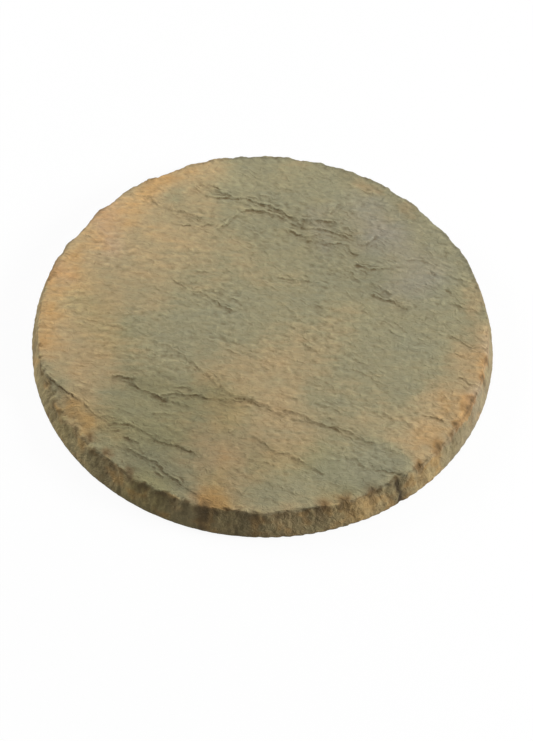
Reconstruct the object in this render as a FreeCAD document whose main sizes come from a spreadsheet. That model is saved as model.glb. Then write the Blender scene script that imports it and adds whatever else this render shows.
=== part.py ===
"""Round garden stepping stone: one cast slab with a riven face and a pitched edge.

Millimetres, +Z up. The origin is the middle of the flat base, which lies on the ground.
"""

import math
import os

import FreeCAD, Part
import Sketcher

# Driving sizes in millimetres.
SIZES = {
    "base_diameter": 450,
    "face_diameter": 435,
    "thickness": 32,
    "base_land": 6,
    "base_round": 2.5,
    "arris_round": 1.5,
    "broad_chip_radius": 138,
    "broad_chip_bite": 4.5,
    "broad_chip_foot": 4,
    "middle_chip_radius": 60,
    "middle_chip_bite": 3,
    "middle_chip_foot": 9,
    "small_chip_radius": 23,
    "small_chip_bite": 2.5,
    "small_chip_foot": 15,
    "small_chip_count": 17,
    "ledge_drop": 1.8,
    "ledge_run": 34,
    "cut_clearance": 3,
}

# Where the larger chips are struck off the edge, in degrees about the axis. The viewer stands at -90.
CHIP_TURNS = {
    "broad": (-128, -80, -59, 40, 149),
    "middle": (-158, -142, -112, -97, 52, 80, 119, 137),
}
# The small chips are a ring all round, and this is where its first one is struck.
SMALL_CHIP_TURN = -54

# The riven ledges. Each line crosses the face from left to right, in shares of the face's radius.
# The face drops on the line's near side by a share of ledge_drop, and rises again over a share of ledge_run.
# A swing, in degrees, turns the rise towards the right, so that the ledge fades to the right.
LEDGES = {
    "Crest": {
        "drop": 1.0,
        "run": 0.7,
        "line": [(-0.33, 0.83), (-0.24, 0.77), (-0.02, 0.71), (0.15, 0.61), (0.27, 0.60), (0.47, 0.47)],
    },
    "Arch": {
        "drop": 0.9,
        "run": 1.1,
        "line": [(-0.23, 0.51), (-0.10, 0.65), (-0.04, 0.66), (0.08, 0.53), (0.21, 0.51), (0.44, 0.40)],
    },
    "Shelf": {
        "drop": 0.6,
        "run": 1.0,
        "line": [(-0.54, 0.69), (-0.50, 0.65), (-0.39, 0.63), (-0.30, 0.59)],
    },
    "RightStep": {
        "drop": 0.8,
        "run": 0.8,
        "line": [(0.34, 0.31), (0.47, 0.24), (0.55, 0.16), (0.59, 0.11), (0.63, 0.11)],
    },
    "Seam": {
        "drop": 0.4,
        "run": 1.2,
        "line": [(-0.51, 0.24), (-0.44, 0.22), (-0.31, 0.15), (-0.16, 0.05), (-0.04, 0.00)],
    },
    "Bay": {
        "drop": 0.4,
        "run": 0.9,
        "line": [(-0.49, -0.12), (-0.38, -0.19), (-0.29, -0.26), (-0.24, -0.31)],
    },
    "Slip": {
        "drop": 0.4,
        "run": 0.9,
        "line": [(0.07, -0.27), (0.19, -0.31), (0.29, -0.37)],
    },
    "Heart": {
        "drop": 0.9,
        "run": 1.1,
        "line": [(-0.67, -0.33), (-0.55, -0.34), (-0.42, -0.45), (-0.16, -0.40), (0.53, -0.65)],
    },
    "Lip": {
        "drop": 1.1,
        "run": 3.0,
        "swing": 30,
        "line": [(-0.98, -0.30), (-0.82, -0.43), (-0.70, -0.54), (-0.48, -0.61), (-0.27, -0.71)],
    },
    "Toe": {
        "drop": 1.2,
        "run": 1.4,
        "line": [(-0.63, -0.63), (-0.54, -0.70), (-0.45, -0.77), (-0.36, -0.85), (-0.25, -0.92)],
    },
    "NearStep": {
        "drop": 0.7,
        "run": 1.0,
        "line": [(-0.15, -0.59), (-0.07, -0.61), (0.06, -0.69), (0.19, -0.74), (0.29, -0.80)],
    },
    "Corner": {
        "drop": 0.8,
        "run": 0.9,
        "line": [(0.34, -0.69), (0.44, -0.73), (0.48, -0.76), (0.60, -0.78)],
    },
}
# How far a ledge's ends splay outwards as they run out, for each millimetre of run.
LEDGE_SPLAY = 1
# A cut's sketch needs some tilt before its own is worked out, because the tilt holds its axis. Degrees.
START_TILT = -1

# A rim counts as lying at a height when it is this close to it.
RIM_MATCH = 0.01
FACE_RADIUS = "Sizes.face_diameter / 2"


def make_sheet(doc):
    """The spreadsheet that drives the model, one row for each size."""
    sheet = doc.addObject("Spreadsheet::Sheet", "Sizes")
    for row, (alias, value) in enumerate(SIZES.items(), start=1):
        sheet.set(f"A{row}", alias)
        sheet.set(f"B{row}", str(value))
        sheet.setAlias(f"B{row}", alias)
    doc.recompute()


def origin_feature(body, role):
    return next(feature for feature in body.Origin.OriginFeatures if feature.Role == role)


def attach(feature, body, plane_role):
    feature.AttachmentSupport = (origin_feature(body, plane_role), "")
    feature.MapMode = "FlatFace"


def draw_outline(sketch, corners):
    """Draws a closed outline of straight runs. A corner is two expressions, across and up."""
    places = [[float(sketch.evalExpression(term)) for term in corner] for corner in corners]
    for here, there in zip(places, places[1:] + places[:1]):
        sketch.addGeometry(Part.LineSegment(FreeCAD.Vector(*here), FreeCAD.Vector(*there)))
    for number in range(len(corners)):
        sketch.addConstraint(Sketcher.Constraint("Coincident", number, 2, (number + 1) % len(corners), 1))
    for number, (corner, place) in enumerate(zip(corners, places)):
        for kind, term, value in zip(("DistanceX", "DistanceY"), corner, place):
            held = sketch.addConstraint(Sketcher.Constraint(kind, -1, 1, number, 1, value))
            sketch.setExpression(f"Constraints[{held}]", term)


def make_slab(body):
    """The plain slab, turned from its half section: an upright land, then a wall that leans in."""
    sketch = body.newObject("Sketcher::SketchObject", "HalfSection")
    attach(sketch, body, "XZ_Plane")
    draw_outline(
        sketch,
        [
            ("0", "0"),
            ("Sizes.base_diameter / 2", "0"),
            ("Sizes.base_diameter / 2", "Sizes.base_land"),
            (FACE_RADIUS, "Sizes.thickness"),
            ("0", "Sizes.thickness"),
        ],
    )
    slab = body.newObject("PartDesign::Revolution", "Slab")
    slab.Profile = sketch
    slab.ReferenceAxis = (sketch, ["V_Axis"])
    slab.Angle = 360
    body.Document.recompute()
    return slab


def round_rim(body, base, name, height, radius):
    """Rounds the rim that lies at one height."""
    rims = [
        f"Edge{number}"
        for number, edge in enumerate(base.Shape.Edges, start=1)
        if edge.isClosed() and abs(edge.CenterOfMass.z - height) < RIM_MATCH
    ]
    rounded = body.newObject("PartDesign::Fillet", name)
    rounded.Base = (base, rims)
    rounded.setExpression("Radius", f"Sizes.{radius}")
    body.Document.recompute()
    return rounded


def strike_chip(body, kind, number, turn):
    """One chip struck off the edge, by a cone outside the rim that enters the wall at its foot.

    The cone starts clear of the wall, below its foot, widens upwards and ends clear of the face.
    """
    radius, bite, foot = (f"Sizes.{kind}_chip_{size}" for size in ("radius", "bite", "foot"))
    rise = f"(Sizes.thickness - {foot})"
    lean = "(Sizes.base_diameter - Sizes.face_diameter) / 2 / (Sizes.thickness - Sizes.base_land)"
    flare = f"({bite} / {rise} + {lean})"
    height = f"({rise} + 2 * Sizes.cut_clearance)"
    reach = f"({FACE_RADIUS} - {bite} + {radius} + {flare} * ({rise} + Sizes.cut_clearance))"

    chip = body.newObject("PartDesign::SubtractiveCone", f"{kind.capitalize()}Chip{number}")
    attach(chip, body, "XY_Plane")
    chip.setExpression("AttachmentOffset.Base.x", f"{reach} * cos({turn} * 1 deg)")
    chip.setExpression("AttachmentOffset.Base.y", f"{reach} * sin({turn} * 1 deg)")
    chip.setExpression("AttachmentOffset.Base.z", f"{foot} - Sizes.cut_clearance")
    chip.setExpression("Radius1", radius)
    chip.setExpression("Radius2", f"{radius} + {flare} * {height}")
    chip.setExpression("Height", height)
    body.Document.recompute()
    return chip


def ring_chips(body, chip):
    """Repeats the small chip all round the edge."""
    ring = body.newObject("PartDesign::PolarPattern", "SmallChips")
    ring.Originals = [chip]
    ring.Axis = (origin_feature(body, "Z_Axis"), [""])
    ring.Angle = 360
    ring.setExpression("Occurrences", "Sizes.small_chip_count")
    body.Tip = ring
    body.Document.recompute()


def make_ledge(body, name, drop, run, line, swing=0):
    """One riven ledge: a tilted cut, deepest along its line, that runs out on the face's near side."""
    drop = f"(Sizes.ledge_drop * {drop})"
    run = f"(Sizes.ledge_run * {run})"
    (left, left_up), (right, right_up) = line[0], line[-1]
    slant = math.atan2(right_up - left_up, right - left) + math.radians(swing)
    along = (math.cos(slant), math.sin(slant))
    near = (math.sin(slant), -math.cos(slant))
    chord = (left + right) / 2 * near[0] + (left_up + right_up) / 2 * near[1]

    sketch = body.newObject("Sketcher::SketchObject", f"{name}Outline")
    attach(sketch, body, "XY_Plane")
    sketch.AttachmentOffset = FreeCAD.Placement(
        FreeCAD.Vector(), FreeCAD.Rotation(FreeCAD.Vector(*along, 0), START_TILT)
    )
    sketch.setExpression("AttachmentOffset.Rotation.Angle", f"-atan({drop} / {run})")
    sketch.setExpression(
        "AttachmentOffset.Base.z", f"Sizes.thickness - {drop} * (1 + {FACE_RADIUS} * {chord} / {run})"
    )

    def run_out(end, splay):
        """The corner where an end of the ledge has run out, just past where the cut leaves the face."""
        past = end[0] * near[0] + end[1] * near[1] - chord
        left_over = f"({run} - {FACE_RADIUS} * {past} + Sizes.cut_clearance)"
        lead = [near[axis] + splay * along[axis] for axis in (0, 1)]
        return [f"{FACE_RADIUS} * {end[axis]} + {left_over} * {lead[axis]}" for axis in (0, 1)]

    corners = [(f"{FACE_RADIUS} * {across}", f"{FACE_RADIUS} * {up}") for across, up in line]
    draw_outline(sketch, corners + [run_out(line[-1], LEDGE_SPLAY), run_out(line[0], -LEDGE_SPLAY)])

    cut = body.newObject("PartDesign::Pocket", name)
    cut.Profile = sketch
    cut.Type = "ThroughAll"
    cut.Reversed = True
    body.Document.recompute()


def make_stone(doc):
    body = doc.addObject("PartDesign::Body", "Stone")
    body.Label = "stepping_stone"
    slab = make_slab(body)
    rounded = round_rim(body, slab, "BaseRound", 0, "base_round")
    round_rim(body, rounded, "ArrisRound", doc.Sizes.thickness, "arris_round")
    ring_chips(body, strike_chip(body, "small", 1, SMALL_CHIP_TURN))
    for kind, turns in CHIP_TURNS.items():
        for number, turn in enumerate(turns, start=1):
            strike_chip(body, kind, number, turn)
    for name, ledge in LEDGES.items():
        make_ledge(body, name, **ledge)
    return body


def check(doc, pieces):
    """Stops before anything is written if a feature failed or a piece isn't a sound solid."""
    for item in doc.Objects:
        if "Invalid" in item.State or "Error" in item.State:
            raise RuntimeError(f"{item.Label} failed: {item.State}")
    for piece in pieces:
        if piece.Shape.isNull() or not piece.Shape.isValid():
            raise RuntimeError(f"{piece.Label} has no sound shape")


def main():
    doc = FreeCAD.newDocument("SteppingStone")
    make_sheet(doc)
    pieces = [make_stone(doc)]
    doc.recompute()
    check(doc, pieces)
    os.makedirs("parts", exist_ok=True)
    for piece in pieces:
        piece.Shape.exportStep(f"parts/{piece.Label}.step")
        print(f"{piece.Label}: {len(piece.Shape.Solids)} solid, {piece.Shape.Volume / 1e6:.3f} litres")


main()
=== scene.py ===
"""Round garden stepping stone: riven face, pitched edge and finish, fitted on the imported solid."""

import math

import bmesh
import bpy
import numpy as np
from bpy.props import FloatProperty, FloatVectorProperty, IntProperty, PointerProperty
from mathutils import Matrix, Vector, noise
from mathutils.bvhtree import BVHTree


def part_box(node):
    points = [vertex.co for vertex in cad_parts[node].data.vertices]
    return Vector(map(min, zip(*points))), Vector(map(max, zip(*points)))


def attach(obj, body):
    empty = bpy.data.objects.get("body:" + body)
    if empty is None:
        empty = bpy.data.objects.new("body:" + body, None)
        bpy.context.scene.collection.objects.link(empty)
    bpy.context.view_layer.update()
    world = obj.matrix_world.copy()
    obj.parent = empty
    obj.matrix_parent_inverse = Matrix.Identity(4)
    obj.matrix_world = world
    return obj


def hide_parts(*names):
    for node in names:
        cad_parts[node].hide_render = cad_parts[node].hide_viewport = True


bl_info = {
    "name": "Riven Stepping Stone",
    "version": (1, 0, 0),
    "blender": (4, 5, 0),
    "location": "View3D > Sidebar > Stepping Stone",
    "description": "Dresses a round cast stepping stone with a riven face and a pitched edge",
    "category": "Object",
}

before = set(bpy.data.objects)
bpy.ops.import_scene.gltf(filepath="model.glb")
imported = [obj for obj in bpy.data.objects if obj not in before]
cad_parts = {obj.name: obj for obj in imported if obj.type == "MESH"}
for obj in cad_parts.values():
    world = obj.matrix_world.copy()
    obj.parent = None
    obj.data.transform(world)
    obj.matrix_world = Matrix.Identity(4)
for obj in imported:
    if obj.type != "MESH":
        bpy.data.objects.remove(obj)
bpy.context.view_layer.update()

NODE = "stepping_stone"
NODE_LOW, NODE_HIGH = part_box(NODE)
MM = 0.001

# The blank in mm: its wall leans out by the flare from the face to the base
THICKNESS = (NODE_HIGH.z - NODE_LOW.z) / MM
BASE_RADIUS = (NODE_HIGH.x - NODE_LOW.x) / 2 / MM
WALL_FLARE = 7.5
FACE_RADIUS = BASE_RADIUS - WALL_FLARE
# Rays to the solid start this far in from the arris, and the underside is closed from this far in
CORE_INSET = 25.0
FOOT_INSET = 4.0
# The band inside the arris that is eased with the edge, the foot that isn't, and how often each is eased
ARRIS_BAND = 8.0
FOOT_BAND = 3.0
FACE_EASINGS = 30
EDGE_EASINGS = 6
# The bands inside the arris that the pitching and the crumbling reach into
PITCHED_BAND = 12.0
CRUMBLED_BAND = 6.0
# Each seed reads the noise this far from the one before, counted in forms
SEED_SHIFT = (31.7, 17.9, 43.3)

# Ledges where layers of the riven face broke off: how deep and how long each one's hollow is, then its line
# from left to right. The near side of a line lies lower. All in mm from the middle, x right and y away.
LEDGES = {
    "crest": (1.25, 9, ((-78, 173), (-65, 160), (-47, 157), (-24, 158), (-3, 151), (12, 143), (25, 134),
                        (41, 122), (53, 121), (73, 114), (90, 105))),
    "crest brow": (1.15, 6, ((-73, 178), (-57, 167), (-36, 159), (-24, 158))),
    "crest right": (1.2, 6, ((74, 124), (82, 121), (90, 114))),
    "crest hook": (0.85, 6, ((88, 108), (95, 102), (102, 103), (107, 108), (110, 116))),
    "crest spur": (1.4, 5, ((63, 137), (67, 147), (74, 157))),
    "arch": (1.2, 8, ((-52, 113), (-40, 124), (-27, 139), (-16, 145), (0, 141), (13, 134), (25, 127),
                      (41, 122))),
    "arch right": (1.2, 6, ((30, 132), (50, 132), (66, 130), (72, 129))),
    "arch middle": (1.2, 6, ((21, 120), (33, 112), (41, 111), (48, 111), (56, 116))),
    "arch foot": (1.6, 8, ((38, 106), (63, 102), (71, 103), (82, 99), (86, 93), (95, 88))),
    "shelf": (1.05, 8, ((-120, 153), (-107, 142), (-97, 139), (-76, 134), (-64, 129))),
    "shelf end": (0.8, 6, ((-70, 118), (-61, 121), (-52, 119))),
    "far dash": (0.4, 6, ((2, 176), (34, 167))),
    "left dash": (0.4, 6, ((-135, 117), (-124, 113))),
    "left rim dash": (0.4, 6, ((-199, 28), (-179, 28))),
    "right brow": (1.5, 7, ((86, 78), (97, 73), (102, 69), (110, 70), (125, 74))),
    "right brow foot": (0.8, 6, ((74, 70), (84, 66), (93, 60))),
    "right step": (1.1, 8, ((103, 55), (112, 49), (117, 44), (126, 36))),
    "right step foot": (1.3, 8, ((103, 42), (115, 34), (124, 31), (132, 26), (143, 22))),
    "right far": (0.9, 6, ((136, 83), (147, 85), (163, 82))),
    "rim brow": (0.6, 6, ((156, 55), (171, 48))),
    "rim step": (1.0, 7, ((178, 51), (185, 40), (189, 34), (194, 28))),
    "rim tongue": (0.9, 7, ((187, 26), (198, 25), (206, 21), (214, 16))),
    "right dash": (0.5, 6, ((153, 13), (167, 8))),
    "rim toe": (0.9, 8, ((176, -6), (187, -12), (193, -18), (200, -23), (218, -25))),
    "rim dash": (0.4, 6, ((172, -34), (184, -42))),
    "rim foot": (0.8, 7, ((183, -58), (193, -61), (198, -66), (210, -69))),
    "right toe": (0.8, 7, ((149, -105), (161, -106), (172, -111))),
    "seam brow": (0.95, 6, ((-92, 48), (-83, 43), (-74, 36))),
    "seam": (0.95, 8, ((-72, 34), (-64, 34), (-56, 28), (-47, 21), (-28, 9))),
    "middle brow": (0.8, 6, ((2, 59), (20, 54), (32, 52), (47, 51))),
    "bay": (0.8, 8, ((-108, -26), (-100, -32), (-91, -33), (-81, -41), (-63, -56), (-51, -67),
                    (-44, -74), (-36, -82))),
    "heart left": (1.2, 7, ((-144, -72), (-132, -71), (-124, -75), (-117, -73))),
    "heart dip": (1.3, 7, ((-127, -76), (-120, -81), (-112, -87), (-102, -91), (-94, -96), (-84, -95))),
    "heart": (1.15, 9, ((-97, -95), (-85, -90), (-56, -89), (-49, -92), (-23, -93), (-10, -95), (4, -102))),
    "heart middle": (0.75, 7, ((-43, -80), (-24, -90), (-10, -93), (4, -99), (14, -106), (28, -108))),
    "heart foot": (0.7, 6, ((-106, -93), (-89, -97), (-63, -103))),
    "heart right": (0.85, 8, ((12, -100), (20, -104), (30, -106), (53, -116), (63, -122), (72, -120),
                             (94, -133), (108, -138))),
    "heart brow": (1.2, 6, ((-85, -82), (-73, -80), (-63, -83))),
    "slip": (0.7, 7, ((28, -63), (38, -67), (48, -70), (56, -75), (64, -79))),
    "slip foot": (0.5, 6, ((14, -81), (24, -87), (37, -92))),
    "lip": (1.6, 10, ((-204, -70), (-189, -85), (-181, -93), (-173, -96), (-154, -116), (-140, -125),
                      (-123, -125), (-107, -135))),
    "lip foot": (1.0, 7, ((-154, -129), (-146, -133), (-135, -134), (-125, -131))),
    "lip end": (1.2, 8, ((-111, -132), (-97, -142), (-85, -147), (-77, -147), (-69, -150), (-55, -158))),
    "left shelf": (0.6, 6, ((-104, -113), (-91, -112), (-73, -115))),
    "toe brow": (1.1, 6, ((-128, -139), (-117, -144), (-109, -148))),
    "toe": (1.1, 8, ((-124, -150), (-115, -156), (-105, -162), (-94, -167), (-91, -170), (-80, -182),
                     (-66, -192))),
    "toe foot": (1.0, 6, ((-95, -176), (-84, -184))),
    "near brow": (0.5, 6, ((-36, -130), (-18, -128))),
    "near dash": (0.6, 6, ((-20, -132), (-8, -140))),
    "near step": (0.8, 8, ((-9, -133), (3, -140), (7, -146), (18, -152), (27, -153), (48, -166),
                           (62, -176))),
    "corner": (0.65, 8, ((73, -150), (89, -155), (94, -160), (101, -165), (110, -167), (130, -171))),
}
# A ledge fades at its ends over this many mm, or over this share of its length where that is less
LEDGE_FADE = 5.0
LEDGE_FADE_SHARE = 0.3
# How far to both sides a ledge's line marks the stone, how far the line wanders, and in the mesh how soft
# the step is and what share of its depth it has
LEDGE_REACH = 7.0
LEDGE_WANDER = 9.0
LEDGE_SOFT = 1.6
LEDGE_SINK = 0.75
# Fainter lines beside each ledge: the least and the most that each lies beyond it, in mm
LEDGE_ECHOES = ((2.0, 5.5), (-2.0, -5.0))

# A ledge in section: how far beyond its line (mm), and how pale or dark the stone is there, 0.5 being plain.
# The dark core is painted shadow under the step, with dirt in the crack, and the pale band on the higher
# side is a painted highlight on the lip
LEDGE_SECTION = (
    (-3.0, 0.5), (-1.6, 0.64), (-0.9, 0.5), (-0.2, 0.1), (0.9, 0.1), (2.0, 0.34), (3.4, 0.54), (5.0, 0.5))
# Spacing of thin layers and of small flakes across the riving, the depth of their steps in the mesh and the
# strength of their lines beside a ledge's
LAYER, LAYER_STEP, LAYER_LINE = 17.0, 0.4, 0.85
FLAKE, FLAKE_STEP, FLAKE_LINE = 7.5, 0.25, 0.75
# The riving runs flatter towards the left: it shifts by this times the square of the mm to the left
LEFT_BEND = 0.0008
# The other relief of the face in mm: fine streaks, the swell of the whole, its lumps and its bumps
STREAK_RISE = 0.12
SWELL_RISE = 0.8
LUMP_RISE = 0.55
BUMP_RISE = 0.72

# Relief of the pitched edge in mm, and how far its marks lean, in radians for each mm of height
FACET_RISE = 0.8
GROOVE_DEPTH = 1.2
POCK_RISE = 0.6
CRUMBLE_DEPTH = 2.6
TOOL_LEAN = 0.001
# The cleft across the edge: its turn in degrees and its depth in mm
CLEFT_TURN = -53.8
CLEFT_DEPTH = 2.6

# Spalls, where the arris broke away: turn and half width in degrees, then how far in and how deep (mm)
SPALLS = ((-150, 8, 15, 7.0), (-61, 5, 7, 2.5), (-47, 2.0, 6, 3.0), (-40, 1.6, 5, 2.5), (-25, 2.2, 6, 2.5))

# The dye all over the face, and where more buff lies in the grey-green: two ends, half width and strength.
# A negative strength is a place that stayed greyer than the rest. All in mm, as above.
PLAIN_DYE = 0.165
DYE_PATCHES = (
    ((-216, -30), (-208, 45), 20, 0.40),
    ((-202, 55), (-172, 116), 33, 0.44),
    ((-164, 132), (-122, 168), 22, 0.28),
    ((-112, 180), (-54, 205), 20, 0.42),
    ((-125, 118), (-75, 65), 54, 0.36),
    ((-90, 165), (-62, 135), 34, 0.20),
    ((-140, 40), (-150, -25), 36, 0.18),
    ((-178, -8), (-170, -60), 40, 0.28),
    ((-190, -60), (-165, -80), 24, 0.10),
    ((-140, -62), (-108, -48), 24, 0.13),
    ((-10, 85), (22, 75), 32, 0.10),
    ((58, -12), (0, -60), 40, 0.24),
    ((-20, -80), (20, -120), 54, 0.26),
    ((-44, -140), (-34, -200), 30, 0.42),
    ((-47, -202), (-32, -212), 13, 0.40),
    ((-35, -180), (-35, -190), 12, 0.12),
    ((-128, 160), (-110, 158), 16, 0.14),
    ((-168, 132), (-152, 128), 14, -0.14),
    ((-122, 28), (-112, 22), 14, 0.08),
    ((-108, -182), (-100, -186), 10, 0.10),
    ((158, -92), (168, -88), 14, 0.14),
    ((180, -22), (190, -24), 12, 0.12),
    ((210, 8), (214, 2), 10, 0.12),
    ((102, -168), (96, -168), 10, -0.08),
    ((20, -187), (12, -187), 10, -0.07),
    ((-192, 80), (-178, 92), 18, 0.18),
    ((-150, 96), (-110, 100), 24, 0.08),
    ((-205, 0), (-186, -8), 18, 0.16),
    ((-172, 40), (-165, 34), 14, 0.12),
    ((-148, -8), (-148, -22), 14, 0.10),
    ((-124, 125), (-118, 115), 14, 0.08),
    ((-84, 186), (-56, 160), 16, 0.08),
    ((208, -40), (206, -52), 12, 0.18),
    ((-142, -124), (-136, -138), 16, 0.09),
    ((52, -76), (78, -78), 16, 0.08),
    ((85, -142), (90, -148), 12, 0.10),
    ((143, -142), (150, -148), 12, 0.10),
    ((12, -162), (18, -162), 12, 0.08),
    ((62, -188), (64, -192), 10, 0.10),
    ((186, -70), (200, -70), 12, -0.18),
    ((-110, 165), (-98, 160), 14, -0.28),
    ((-212, -40), (-206, -52), 14, 0.30),
    ((-182, -118), (-165, -128), 12, 0.12),
    ((197, -95), (192, -100), 12, 0.28),
    ((126, -155), (120, -156), 14, -0.28),
    ((205, 38), (206, 26), 10, 0.14),
    ((190, -35), (182, -44), 14, 0.16),
    ((-42, 130), (-50, 35), 30, -0.06),
    ((72, -70), (112, -92), 24, 0.05),
    ((-110, -60), (-88, -92), 26, 0.05),
    ((0, -160), (25, -157), 20, 0.15),
    ((-10, -212), (30, -212), 14, 0.18),
    ((60, -115), (120, -100), 30, 0.20),
    ((62, -96), (80, -98), 18, -0.20),
    ((212, 54), (210, 36), 16, 0.28),
    ((216, -12), (206, -50), 22, 0.58),
    ((206, -86), (176, -80), 20, 0.52),
    ((200, -100), (188, -114), 12, 0.34),
    ((160, -118), (142, -148), 23, 0.56),
    ((8, 205), (40, 202), 14, 0.14),
    ((78, 190), (132, 154), 12, 0.10),
    ((95, 177), (117, 172), 8, 0.24),
    ((138, 150), (148, 144), 6, 0.24),
    ((-178, -110), (-158, -124), 18, 0.62),
    ((58, -190), (72, -196), 16, 0.16),
    ((100, -200), (125, -185), 16, 0.30),
    ((70, -168), (112, -168), 24, -0.24),
    ((-120, -20), (-40, -5), 28, -0.06),
    ((-95, -150), (-85, -190), 24, -0.06),
)

# Where the face is a cooler grey, and with a negative strength where it is yellower: as above
COOL_PATCHES = (
    ((100, 145), (110, 120), 22, 0.15),
    ((125, 115), (150, 75), 26, 0.14),
    ((228, -10), (212, -85), 12, 0.16),
    ((206, -98), (180, -140), 10, 0.14),
    ((-178, -112), (-160, -125), 16, -0.10),
    ((165, 55), (130, 45), 16, 0.10),
    ((55, 140), (55, 105), 14, 0.10),
    ((-165, 140), (-155, 85), 16, 0.15),
    ((-205, 60), (-200, 40), 10, 0.12),
    ((-130, -130), (-85, -140), 26, -0.12),
    ((-105, -185), (-90, -195), 18, -0.15),
    ((-35, -95), (-30, -115), 20, -0.11),
    ((-40, -185), (-30, -205), 14, -0.12),
    ((-110, -85), (-70, -95), 24, -0.09),
    ((-180, 20), (-140, -30), 24, -0.07),
    ((0, -165), (60, -155), 20, -0.07),
    ((80, -190), (70, -195), 14, -0.09),
)

# The edge by turn: its turn and half width in degrees, then how much paler and how much warmer it is there.
# The paler or darker share is painted light and shade, darker where the edge faces the near side; the warmer
# share is dye
EDGE_LIGHT_AND_DYE_PATCHES = (
    (-168, 8, 0.14, 0.10), (-158, 5, 0.08, 0.05), (-127, 5, 0.10, 0.10), (-100, 10, -0.14, 0.10),
    (-82, 9, -0.22, 0.20), (-64, 6, 0.06, 0.55), (-46, 6, 0.10, 0.50), (-37, 5, 0.14, -0.25),
    (-28, 6, 0.03, -0.40), (-14, 12, -0.02, -0.25),
)

# Rust-brown soil in small breaks of the arris: place and half width in mm
ARRIS_STAINS = (
    ((214, -35), 4.0), ((211, -58), 4.0), ((198, -83), 4.0), ((195, -93), 5.0), ((183, -114), 4.5),
    ((179, -124), 4.5), ((165, -138), 6.0), ((147, -159), 4.5), ((104, -188), 6.0), ((80, -199), 6.0),
    ((60, -206), 6.0), ((-47, -213), 6.0), ((-118, -178), 5.0), ((-140, -160), 5.0), ((-158, -142), 5.0),
)

# Where the face is paler, and with a negative strength where it is darker: as above. In part this is painted
# light and shade, darker where the face slopes to the near left and under its ledges and paler towards the
# back, and in part the stone's own colour
LIGHT_SHADE_AND_TONE_PATCHES = (
    ((-210, 10), (-160, 150), 40, 0.14),
    ((-140, 165), (-60, 202), 34, 0.12),
    ((-110, 95), (-90, 90), 40, 0.06),
    ((-40, 196), (80, 180), 36, 0.07),
    ((-155, 50), (-150, -45), 30, -0.05),
    ((-120, -78), (-40, -92), 20, -0.19),
    ((-140, -125), (-70, -150), 34, -0.16),
    ((-115, -175), (-45, -208), 32, -0.20),
    ((-60, -120), (-10, -150), 34, -0.14),
    ((-20, -152), (0, -158), 22, -0.06),
    ((-50, -40), (-20, -48), 24, -0.06),
    ((-15, -200), (10, -200), 26, -0.08),
    ((-47, -207), (-30, -215), 10, -0.16),
    ((80, -195), (125, -182), 18, -0.16),
    ((210, 40), (178, -120), 15, -0.08),
    ((30, 120), (72, 108), 28, -0.08),
    ((60, 70), (90, 58), 30, -0.05),
    ((102, 48), (132, 22), 18, -0.06),
    ((40, -135), (60, -140), 24, -0.06),
    ((60, -70), (110, -70), 40, -0.04),
    ((74, 194), (117, 172), 9, -0.18),
    ((138, 150), (150, 144), 7, -0.20),
    ((-176, -112), (-160, -124), 14, -0.08),
)

# Softboxes: turn from +X and rise in degrees, distance and size in metres, and power in watts
SOFTBOXES = {
    "key": (-6, 28, 2.2, 0.8, 38.0),
    "fill": (158, 32, 2.2, 1.0, 22.5),
    "top": (80, 70, 2.8, 1.8, 16.0),
}
# The floor's half width in metres, and the picture's height in pixels
FLOOR_REACH = 4.0
IMAGE_HEIGHT = 741


def linear(hex_code):
    """An sRGB hex colour as linear red, green and blue."""
    shares = [int(hex_code[place:place + 2], 16) / 255 for place in (1, 3, 5)]
    return tuple(c / 12.92 if c <= 0.04045 else ((c + 0.055) / 1.055) ** 2.4 for c in shares)


class RivenStoneSettings(bpy.types.PropertyGroup):
    """Sizes and colours of the stepping stone."""

    cells_along: IntProperty(
        name="Cells along", description="Face cells along the riving", default=224, min=20)
    cells_across: IntProperty(
        name="Cells across", description="Face cells across the riving", default=328, min=20)
    wall_rows: IntProperty(
        name="Wall rows", description="Rows of cells down the edge", default=20, min=6)
    strike: FloatProperty(
        name="Strike", description="Turn of the riven lines from +X",
        default=math.radians(-33), subtype="ANGLE")
    grey_green: FloatVectorProperty(
        name="Grey-green", description="Undyed face", default=linear("#8D896D"), size=3, subtype="COLOR")
    olive: FloatVectorProperty(
        name="Olive grey", description="Face with a little dye",
        default=linear("#968E6D"), size=3, subtype="COLOR")
    buff: FloatVectorProperty(
        name="Buff", description="Dyed face", default=linear("#AE976F"), size=3, subtype="COLOR")
    orange: FloatVectorProperty(
        name="Orange", description="Heavily dyed face", default=linear("#B8925E"), size=3, subtype="COLOR")
    # Brown and buff streak the edge, and where they follow the tooling's hollows and ridges they are painted
    # shade and painted highlight
    wall_brown: FloatVectorProperty(
        name="Wall brown", description="Edge in the hollows of its tooling",
        default=linear("#8A784E"), size=3, subtype="COLOR")
    wall_buff: FloatVectorProperty(
        name="Wall buff", description="Edge on the ridges of its tooling",
        default=linear("#C6AE78"), size=3, subtype="COLOR")
    # Earth is mixed in for dirt and rust and also for painted shade: in hollows, in the cleft, along the
    # ground and in ledge lines
    earth_and_shade: FloatVectorProperty(
        name="Earth", description="Dirt in the hollows", default=linear("#604E2E"), size=3, subtype="COLOR")


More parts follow.
